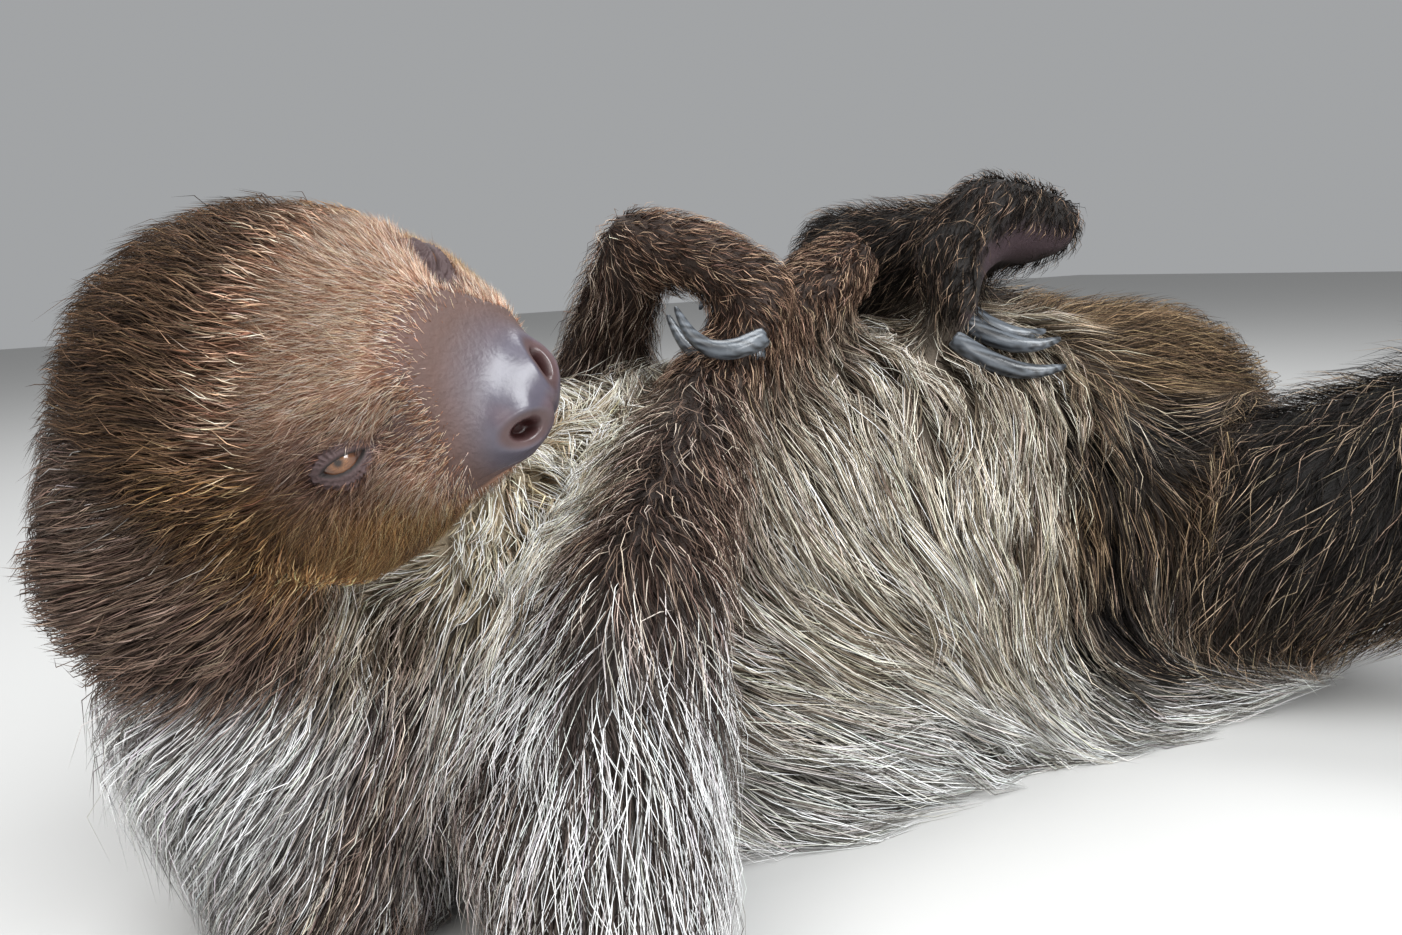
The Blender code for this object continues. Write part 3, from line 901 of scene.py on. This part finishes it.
headCoat = {"slot": "crown_coat", "hair": "crownHair"}
paleCoat = {"slot": "pale_coat", "hair": "paleHair"}
limbCoat = {"slot": "limb_coat", "hair": "limbHair"}
whole = ["neck"] + trunkSet
coatUsual = {
    # rings of each strand, pull of the locks, how far strands stray, how unlike their tones are, waves
    "rings": 3, "clump": 0.5, "scatter": 0.16, "contrast": 0.24, "waves": 0.035, "gather": 1.3,
}
coatSpec = {
    # where each piece grows, what else it may lie on, strands, width in mm, strands in a lock
    "coatFace": {
        "on": headSet, "over": [], "strands": 44000, "width": 0.3, "lock": 6,
        "rings": 2, "clump": 0.25, "scatter": 0.36, "contrast": 0.42, **headCoat},
    "coatCrown": {
        "on": ["head"], "over": ["neck"], "strands": 19700, "width": 0.28, "lock": 12,
        "clump": 0.45, "scatter": 0.26, "contrast": 0.3, **headCoat},
    "coatNeck": {"on": ["neck"], "over": whole, "strands": 19000, "width": 0.34, "lock": 15, **paleCoat},
    "coatChest": {
        "on": ["chest"], "over": whole, "strands": 11600, "width": 0.37, "lock": 20,
        "rings": 4, "clump": 0.8, "waves": 0.05, "gather": 0.9, **paleCoat},
    "coatBelly": {
        "on": ["belly"], "over": whole, "strands": 12200, "width": 0.38, "lock": 30,
        "rings": 4, "clump": 0.95, "contrast": 0.3, "waves": 0.07, "gather": 0.75, **paleCoat},
    "coatRump": {"on": ["rump"], "over": whole, "strands": 11500, "width": 0.38, "lock": 15, **paleCoat},
    "coatArmRight": {
        "on": ["upper_arm_right", "forearm_right", "hand_right"], "over": ["chest"],
        "strands": 11000, "width": 0.32, "lock": 11,
        "rings": 4, "scatter": 0.26, "waves": 0.06, **limbCoat},
    "coatArmLeft": {
        "on": ["upper_arm_left", "forearm_left", "hand_left"], "over": ["chest"],
        "strands": 8500, "width": 0.3, "lock": 9,
        "clump": 0.25, "scatter": 0.34, "waves": 0.08, **limbCoat},
    "coatLegRight": {
        "on": ["thigh_right", "shin_right", "foot_right"], "over": ["rump", "belly"],
        "strands": 15000, "width": 0.34, "lock": 14,
        "clump": 0.45, "scatter": 0.3, "waves": 0.09, **limbCoat},
    "coatLegLeft": {
        "on": ["thigh_left", "shin_left", "foot_left"], "over": ["rump", "belly"],
        "strands": 8500, "width": 0.32, "lock": 10,
        "clump": 0.25, "scatter": 0.34, "waves": 0.08, **limbCoat},
}
strandSpec = {
    # border between face and crown pieces, and how it runs down the cheek
    "foreLine": -14, "cheekLine": 13, "cheekUp": (-12, -26),
    # fewer strands on the far side and underneath, more where the coat parts
    "farSide": 0.5, "farTurn": (-0.5, 0.15), "underneath": 0.3, "downTurn": (-0.35, -0.85), "lowZ": (60, 20),
    "usualLength": 30, "thinning": 0.7, "whorlFill": 1.5, "whorlTurn": 5,
    # sizes, from and to, as shares
    "lengths": (0.65, 1.15), "heights": (0.5, 1.35), "widths": (0.75, 1.2),
    "evenLength": 0.6, "edgeLength": 0.35, "leastHeight": 1.7,
    # how strands start, rise and lie over the skin
    "sink": 0.5, "floorGap": 0.5, "rise": 2.2, "lift": 0.9, "press": 0.55, "overShare": 0.35,
    # the down, shorter, wider and darker
    "underShare": 0.3, "underLength": 0.62, "underHeight": 0.4, "underWidth": 2.4,
    # stray hairs, the tousled hip and the wisp under the thigh
    "flyaway": 0.012, "flyTurn": 2.5, "flyHeight": 1.4, "wild": 1.8, "wildLength": 0.3, "wildX": (115, 155),
    "wildZ": (95, 115), "wisp": 0.5, "wispAt": (15, -50, 15), "wispReach": 42,
    # locks
    "pulls": (0.5, 1.25), "mostPull": 0.9, "turns": (0.5, 1.1), "sway": 0.5,
    # tones: how much strands follow the mean of their zones, and how a strand's start and end are mixed
    "evenTone": 0.6, "darkEnd": 0.4, "paleStart": 0.3, "start": 0.5, "tintJitter": 0.03,
    # section: wide and flat, with painted shade on one side and a painted highlight on another, and thinner
    # to the tip
    "flat": (1.2, 0.7), "sideShading": (0.68, 1.0, 1.3), "tipWidth": 0.3, "patch": 0.003,
}


def growsHere(spec, skinData):
    # the skin triangles this piece grows from
    corners = skinData["corners"]
    owner = np.argmax(skinData["shares"], axis=1)[corners[:, 0]]
    mine = np.isin(owner, [regions.index(name) for name in spec["on"]])
    head = toHead(skinData["points"])[corners[:, 0]]
    cheek = strandSpec["cheekLine"] * ramp(head[:, 2], *strandSpec["cheekUp"])
    onFace = head[:, 0] - cheek > strandSpec["foreLine"]
    if spec["slot"] == "crown_coat":
        mine &= onFace if "nose" in spec["on"] else ~onFace
    return corners[mine]


def meshFromTriangles(name, points, corners):
    mesh = bpy.data.meshes.new(name)
    mesh.vertices.add(len(points))
    mesh.vertices.foreach_set("co", (points * mm).astype(np.float32).ravel())
    mesh.loops.add(len(corners) * 3)
    mesh.loops.foreach_set("vertex_index", corners.astype(np.int32).ravel())
    mesh.polygons.add(len(corners))
    mesh.polygons.foreach_set("loop_start", np.arange(0, len(corners) * 3, 3, dtype=np.int32))
    mesh.update(calc_edges=True)
    mesh.validate()
    return mesh


def unwrap(points, corners):
    # where each corner of these skin triangles lies on a flat unwrap of the skin
    used, local = np.unique(corners, return_inverse=True)
    mesh = meshFromTriangles("flat", points[used], local.reshape(-1, 3))
    obj = linkObject("flat", mesh)
    mesh.uv_layers.new(name="flat")
    bpy.context.view_layer.objects.active = obj
    obj.select_set(True)
    bpy.ops.object.mode_set(mode="EDIT")
    bpy.ops.mesh.select_all(action="SELECT")
    bpy.ops.uv.smart_project(angle_limit=math.radians(66), island_margin=0.002)
    bpy.ops.object.mode_set(mode="OBJECT")
    flat = np.empty(len(corners) * 6, np.float32)
    mesh.uv_layers["flat"].uv.foreach_get("vector", flat)
    bpy.data.objects.remove(obj)
    bpy.data.meshes.remove(mesh)
    return flat.reshape(-1, 3, 2).astype(float)


def plantRoots(skinData, corners, count, draw):
    # which triangle each strand grows from, and its place in it
    spec, points, normals = strandSpec, skinData["points"], skinData["normals"]
    faced = ramp(-0.7 * normals[:, 1] + 0.5 * normals[:, 2], *spec["farTurn"])
    lengths = skinData["zones"] @ zoneLengths
    weight = mix(spec["farSide"], 1, faced) * (spec["usualLength"] / lengths) ** spec["thinning"]
    hidden = ramp(normals[:, 2], *spec["downTurn"]) * ramp(points[:, 2], *spec["lowZ"])
    weight = weight * mix(1, spec["underneath"], hidden) * (1 - skinData["bare"])
    weight = weight * (1 + spec["whorlFill"] * skinData["whorl"])
    area = triangleAreas(*points[corners].transpose(1, 0, 2))
    return drawInTriangles(draw, area * weight[corners].mean(1), count)


def growPaths(skinData, chosen, roots, normals, lengths, heights, swing, rings):
    # each strand runs along the comb and rises to its own height over the skin
    points, ways, out = skinData["points"][chosen], skinData["comb"][chosen], skinData["normals"][chosen]
    tree = makeTree(points)
    paths = np.empty((len(roots), rings, 3))
    here = roots - normals * strandSpec["sink"]
    paths[:, 0] = here
    steps = rings - 1
    laps = 3 if rings == 2 else 2
    hit = nearest(tree, roots)
    for step in range(1, rings):
        for lap in range(laps):
            along = (step - 1 + (lap + 1) / laps) / steps
            way = turned(ways[hit], out[hit], swing)
            here = here + way * (lengths / steps / laps)[:, None]
            hit = nearest(tree, here)
            over = ((here - points[hit]) * out[hit]).sum(1)
            want = heights * (1 - (1 - along) ** strandSpec["rise"])
            pull = np.where(over < want, strandSpec["lift"], strandSpec["press"])
            here = here + out[hit] * ((want - over) * pull)[:, None]
            here[:, 2] = np.maximum(here[:, 2], strandSpec["floorGap"])
        paths[:, step] = here
    return paths


def gatherLocks(paths, spec, draw):
    # strands lean to the nearest leading strand, more so at their tips, and share its waves
    count, rings = paths.shape[:2]
    leaders = draw.choice(count, max(count // spec["lock"], 1), replace=False)
    lead = nearest(makeTree(paths[leaders, 0]), paths[:, 0])
    s = np.linspace(0, 1, rings)[None, :, None]
    pull = spec["clump"] * s ** spec["gather"] * draw.uniform(*strandSpec["pulls"], (count, 1, 1))
    paths += (paths[leaders[lead]] - paths) * np.clip(pull, 0, strandSpec["mostPull"])
    way = unit(paths[:, -1] - paths[:, 0])
    side = unit(np.cross(way, (0.1, -0.3, 0.95)))
    reach = np.linalg.norm(paths[:, -1] - paths[:, 0], axis=1)
    phase = draw.uniform(0, 2 * math.pi, len(leaders))[lead] + draw.normal(0, strandSpec["sway"], count)
    turns = draw.uniform(*strandSpec["turns"], len(leaders))[lead]
    phase, turns = phase[:, None, None], turns[:, None, None]
    bend = np.sin(phase + turns * 2 * math.pi * s) - np.sin(phase)
    paths += side[:, None] * bend * s * (reach * spec["waves"])[:, None, None]
    paths[:, :, 2] = np.maximum(paths[:, :, 2], strandSpec["floorGap"])
    return paths


def strandColours(mixed, under, draw, rings, contrast):
    # the tone of each ring of each strand, and the zone it belongs to
    spec = strandSpec
    count = len(mixed)
    zone = np.minimum((np.cumsum(mixed, axis=1) < draw.random(count)[:, None]).sum(1), len(zones) - 1)
    root, middleTone, tip, pale = (mix(p[zone], mixed @ p, spec["evenTone"]) for p in palettes)
    chance = draw.random(count)
    isPale = ((chance < paleShares[zone]) & ~under)[:, None]
    isDark = ((chance > 1 - darkShares[zone]) | under)[:, None]
    end = np.where(isPale, pale, np.where(isDark, mix(root, middleTone, spec["darkEnd"]), tip))
    start = np.where(isDark, root, mix(root, middleTone, spec["start"]))
    start = np.where(isPale, mix(middleTone, pale, spec["paleStart"]), start)
    s = np.linspace(0, 1, rings)[None, :, None]
    tone = mix(start[:, None], end[:, None], np.where(isPale[:, None], ramp(s, -0.1, 0.5), ramp(s, 0, 0.8)))
    tone = tone * np.exp(draw.normal(0, contrast, (count, 1, 1)))
    return np.clip(tone * (1 + draw.normal(0, spec["tintJitter"], (count, 1, 3))), 0, 0.95), zone


def strandMesh(name, paths, outs, widths, tones, patch, draw):
    # three-sided tapered strands, each closed by a cap at its root and drawn to a point at its tip
    spec = strandSpec
    count, rings = paths.shape[:2]
    full = rings - 1
    s = np.linspace(0, 1, rings)[:-1]
    way = unit(np.gradient(paths, axis=1))
    side = unit(np.cross(way, outs[:, None]))
    lift = np.cross(side, way)
    # a little thinner at the root, then thinner and thinner to the tip
    girth = np.sin(np.clip((s + 0.16) * 2.6, 0, math.pi / 2)) * mix(1, spec["tipWidth"], s ** 1.5)
    turn = draw.uniform(0, 2 * math.pi / 3, count)[:, None] + np.arange(3) * 2 * math.pi / 3
    radius = (widths[:, None] / 2 * girth)[:, :, None, None]
    wide, high = spec["flat"]
    around = side[:, :full, None] * np.cos(turn)[:, None, :, None] * wide
    around = around + lift[:, :full, None] * np.sin(turn)[:, None, :, None] * high
    ringPoints = paths[:, :full, None] + around * radius
    size = full * 3 + 1
    points = np.concatenate([ringPoints.reshape(count, -1, 3), paths[:, -1:]], axis=1).reshape(-1, 3)
    # painted shade and highlight: the three sides of each strand get a darker, an even and a lighter copy of
    # its tone
    sideShaded = tones[:, :full, None] * np.array(spec["sideShading"])[None, None, :, None]
    colours = np.concatenate([sideShaded.reshape(count, -1, 3), tones[:, -1:]], axis=1).reshape(-1, 3)
    corners = [(0, 2, 1)]
    flat = [((-0.5, -0.5), (0.5, -0.5), (0, -0.56))]      # the map of one strand, 1 across
    rows = np.linspace(-0.5, 0.5, rings)
    for ring in range(full):
        low, top = rows[ring], rows[ring + 1]
        for j in range(3):
            a, b = ring * 3 + j, ring * 3 + (j + 1) % 3
            left, right = j / 3 - 0.5, (j + 1) / 3 - 0.5
            if ring < full - 1:
                corners += [(a, b, b + 3), (a, b + 3, a + 3)]
                flat += [((left, low), (right, low), (right, top)), ((left, low), (right, top), (left, top))]
            else:
                corners.append((a, b, size - 1))
                flat.append(((left, low), (right, low), ((left + right) / 2, top)))
    every = (np.array(corners)[None] + (np.arange(count) * size)[:, None, None]).reshape(-1, 3)
    mesh = meshFromTriangles(name, points, every)
    paint(mesh, "tone", np.clip(colours, 0, 0.9))
    layer = mesh.uv_layers.new(name="OFBake")
    place = patch[:, None, None] + np.array(flat)[None] * spec["patch"]
    layer.uv.foreach_set("vector", place.astype(np.float32).ravel())
    mesh.shade_smooth()
    return mesh


def makeCoat(name, skinData):
    spec, strand = {**coatUsual, **coatSpec[name]}, strandSpec
    count = spec["strands"]
    draw = np.random.default_rng([seed, list(coatSpec).index(name)])
    corners = growsHere(spec, skinData)
    flat = unwrap(skinData["points"], corners)
    pick, place = plantRoots(skinData, corners, count, draw)
    at = corners[pick]

    def atRoots(key):
        values = skinData[key]
        return (values[at] * place.reshape(place.shape + (1,) * (values.ndim - 1))).sum(1)

    roots, normals, mixed = atRoots("points"), unit(atRoots("normals")), atRoots("zones")
    under = draw.random(count) < strand["underShare"]
    tones, zone = strandColours(mixed, under, draw, spec["rings"], spec["contrast"])
    lengths = mix(zoneLengths[zone], mixed @ zoneLengths, strand["evenLength"])
    lengths *= draw.uniform(*strand["lengths"], count) * np.where(under, strand["underLength"], 1)
    lengths *= mix(1, strand["edgeLength"], np.sqrt(atRoots("bare")))
    heights = np.maximum(atRoots("depth"), strand["leastHeight"]) * draw.uniform(*strand["heights"], count)
    heights *= np.where(under, strand["underHeight"], 1)
    wild = ramp(roots[:, 0], *strand["wildX"]) * ramp(roots[:, 2], *strand["wildZ"])
    heights *= 1 + strand["wild"] * wild * draw.random(count)
    wisp = near(roots, strand["wispAt"], strand["wispReach"])
    lengths *= 1 + strand["wildLength"] * wild + strand["wisp"] * wisp
    swing = draw.normal(0, spec["scatter"], count) * (1 + strand["whorlTurn"] * atRoots("whorl"))
    loose = draw.random(count) < strand["flyaway"]
    swing[loose] *= strand["flyTurn"]
    heights[loose] *= strand["flyHeight"]
    chosen = np.flatnonzero(share(skinData["shares"], *spec["on"], *spec["over"]) > strand["overShare"])
    paths = growPaths(skinData, chosen, roots, normals, lengths, heights, swing, spec["rings"])
    paths = gatherLocks(paths, spec, draw)
    widths = spec["width"] * draw.uniform(*strand["widths"], count) * np.where(under, strand["underWidth"], 1)
    patch = (flat[pick] * place[:, :, None]).sum(1)
    coat = linkObject(name, strandMesh(name, paths, normals, widths, tones, patch, draw))
    dress(coat, spec["hair"])
    print(name + ":", len(coat.data.polygons), "triangles")


# eyes

eyeSpec = {
    "radius": 6.8, "aside": 0.07, "lift": 0.13, "cornea": 0.45, "corneaEdge": 34, "iris": 31, "pupil": 6,
    "fibres": 31, "lightRing": (24, 10),
    "amber": (84, 54, 36), "gold": (124, 86, 56), "rim": (52, 31, 21),
    "dark": (26, 17, 13), "white": (60, 44, 40),
}


def makeEye(side, name, node):
    spec, centre = eyeSpec, eyePlace[side]
    gaze, along, up = eyeAxes(side)
    aim = unit(gaze - along * spec["aside"] + up * spec["lift"]) @ headAxes
    turn = Vector(aim).to_track_quat("Z", "Y").to_matrix().to_4x4()
    place = Matrix.Translation(Vector(centre * mm)) @ turn
    bm = bmesh.new()
    bmesh.ops.create_uvsphere(bm, u_segments=72, v_segments=96, radius=spec["radius"] * mm, matrix=place)
    eye = linkShape(name, bm)
    mesh = eye.data
    away = readPoints(mesh) - centre
    angle = np.degrees(np.arccos(np.clip(unit(away) @ aim, -1, 1)))
    swell = 1 + spec["cornea"] / spec["radius"] * np.clip(1 - (angle / spec["corneaEdge"]) ** 2, 0, 1)
    writePoints(mesh, centre + away * swell[:, None])
    rays = np.arctan2(away @ (up @ headAxes), away @ (along @ headAxes))
    fibre = 0.5 + 0.5 * np.sin(rays * spec["fibres"] + 2 * np.sin(rays * 7))
    amber, gold, rim, dark, white = (tint(*spec[key]) for key in ("amber", "gold", "rim", "dark", "white"))
    tone = mix(amber, gold, (fibre * ramp(angle, *spec["lightRing"]))[:, None])
    tone = mix(tone, rim, ramp(angle, spec["iris"] - 6, spec["iris"])[:, None])
    tone = mix(tone, white, ramp(angle, spec["iris"], spec["iris"] + 5)[:, None])
    tone = mix(dark, tone, ramp(angle, spec["pupil"] - 3, spec["pupil"] + 6)[:, None])
    paint(mesh, "tone", tone)
    mesh.shade_smooth()
    dress(eye, "eyeGloss")
    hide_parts(node)


# claws

clawSpec = {
    "voxel": 0.5, "smooth": 5, "streak": 0.9, "streakLength": 16, "streakEdge": (-0.7, 0.7),
    "dark": (28, 30, 33), "pale": (84, 89, 95),
}


def smoothClaw(node):
    # a finer copy of one CAD claw, and its streaks along its length
    bm = bmesh.new()
    bm.from_mesh(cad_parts[node].data)
    bmesh.ops.remove_doubles(bm, verts=bm.verts[:], dist=weldGap)
    claw = linkShape(node + "Fine", bm)
    curve = claw.modifiers.new("curve", "SUBSURF")
    curve.levels = curve.render_levels = 1
    fuse(claw, clawSpec["voxel"], clawSpec["smooth"])
    points = readPoints(claw.data)
    centred = points - points.mean(0)
    axes = np.linalg.svd(centred[::7], full_matrices=False)[2]
    size = (clawSpec["streakLength"], clawSpec["streak"], clawSpec["streak"])
    streaks = ramp(wave(centred @ axes.T / size * 2, 2), *clawSpec["streakEdge"])
    return claw, mix(tint(*clawSpec["dark"]), tint(*clawSpec["pale"]), streaks[:, None])


def makeClaws(limb, name):
    nodes = sorted(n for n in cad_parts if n.startswith("claw_" + limb))
    bm = bmesh.new()
    tones = []
    for node in nodes:
        claw, tone = smoothClaw(node)
        bm.from_mesh(claw.data)
        tones.append(tone)
        bpy.data.objects.remove(claw)
    claws = linkShape(name, bm)
    paint(claws.data, "tone", np.concatenate(tones))
    claws.data.shade_smooth()
    dress(claws, "clawHorn")
    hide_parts(*nodes)


# materials

hair = {"grain": (260, 3), "shade": (0.82, 1.22), "shader": {"Roughness": 0.6, "Specular IOR Level": 0.1}}
materialSpec = {
    # size and detail of the grain, how dark and light it turns the painted tone, and the shader's own values
    "crownHair": hair, "paleHair": hair, "limbHair": hair,
    "bareSkin": {
        "grain": (420, 3), "shade": (0.8, 1.22), "relief": (900, 4), "depth": 0.0005, "shader": {},
        "dryToWet": {"Roughness": (0.85, 0.32), "Strength": (1.0, 0.12)}},
    "eyeGloss": {
        "grain": (1500, 3), "shade": (0.85, 1.15),
        "shader": {"Roughness": 0.12, "Specular IOR Level": 0.1, "Coat Weight": 1, "Coat Roughness": 0.02}},
    "clawHorn": {
        "grain": (700, 4), "shade": (0.8, 1.2), "relief": (700, 4), "depth": 0.0003, "strength": 0.25,
        "shader": {"Roughness": 0.3}},
    "floor": {"shader": {"Base Color": (0.5, 0.495, 0.485, 1), "Roughness": 0.8}},
}


def makeMaterial(name):
    spec = materialSpec[name]
    material = bpy.data.materials.new(name)
    material.use_nodes = True
    nodes, links = material.node_tree.nodes, material.node_tree.links
    shader = nodes["Principled BSDF"]
    setInputs(shader, spec["shader"])

    def attribute(name, output):
        node = nodes.new("ShaderNodeAttribute")
        node.attribute_name = name
        return node.outputs[output]

    def noise(scale, detail):
        texture = nodes.new("ShaderNodeTexNoise")
        setInputs(texture, {"Scale": scale, "Detail": detail})
        links.new(nodes.new("ShaderNodeTexCoord").outputs["Object"], texture.inputs["Vector"])
        return texture.outputs["Fac"]

    def between(value, low, high):
        level = nodes.new("ShaderNodeMapRange")
        setInputs(level, {"To Min": low, "To Max": high})
        links.new(value, level.inputs["Value"])
        return level.outputs["Result"]

    if "grain" in spec:      # the painted tone, lighter and darker with the grain
        scaled = nodes.new("ShaderNodeVectorMath")
        scaled.operation = "SCALE"
        links.new(attribute("tone", "Color"), scaled.inputs[0])
        links.new(between(noise(*spec["grain"]), *spec["shade"]), scaled.inputs["Scale"])
        links.new(scaled.outputs["Vector"], shader.inputs["Base Color"])
    if "relief" in spec:
        bump = nodes.new("ShaderNodeBump")
        setInputs(bump, {"Distance": spec["depth"], "Strength": spec.get("strength", 1)})
        links.new(noise(*spec["relief"]), bump.inputs["Height"])
        links.new(bump.outputs["Normal"], shader.inputs["Normal"])
    for socket, (dry, wet) in spec.get("dryToWet", {}).items():
        owner = bump if socket == "Strength" else shader
        links.new(between(attribute("wet", "Fac"), dry, wet), owner.inputs[socket])
    return material


def dress(piece, name):
    # gives a piece its material, which is made once, and the body it rides on
    material = bpy.data.materials.get(name) or makeMaterial(name)
    piece.data.materials.append(material)
    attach(piece, body)


def layFloor():
    bm = bmesh.new()
    bmesh.ops.create_grid(bm, x_segments=1, y_segments=1, size=4)
    floor = linkShape("floor", bm)
    floor.data.materials.append(makeMaterial("floor"))


placeCamera()
lightStudio()
layFloor()
print("studio ready")

skin = makeSkin()
skinData = dressSkin(skin)
dress(skin, "bareSkin")
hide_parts(*regions)

makeEye(-1, "eyeRight", "eye_right")
makeEye(1, "eyeLeft", "eye_left")
for limb, name in (("hand_left", "clawsHandLeft"), ("hand_right", "clawsHandRight"),
                   ("foot_left", "clawsFootLeft"), ("foot_right", "clawsFootRight")):
    makeClaws(limb, name)
print("eyes and claws made")

for name in coatSpec:
    makeCoat(name, skinData)
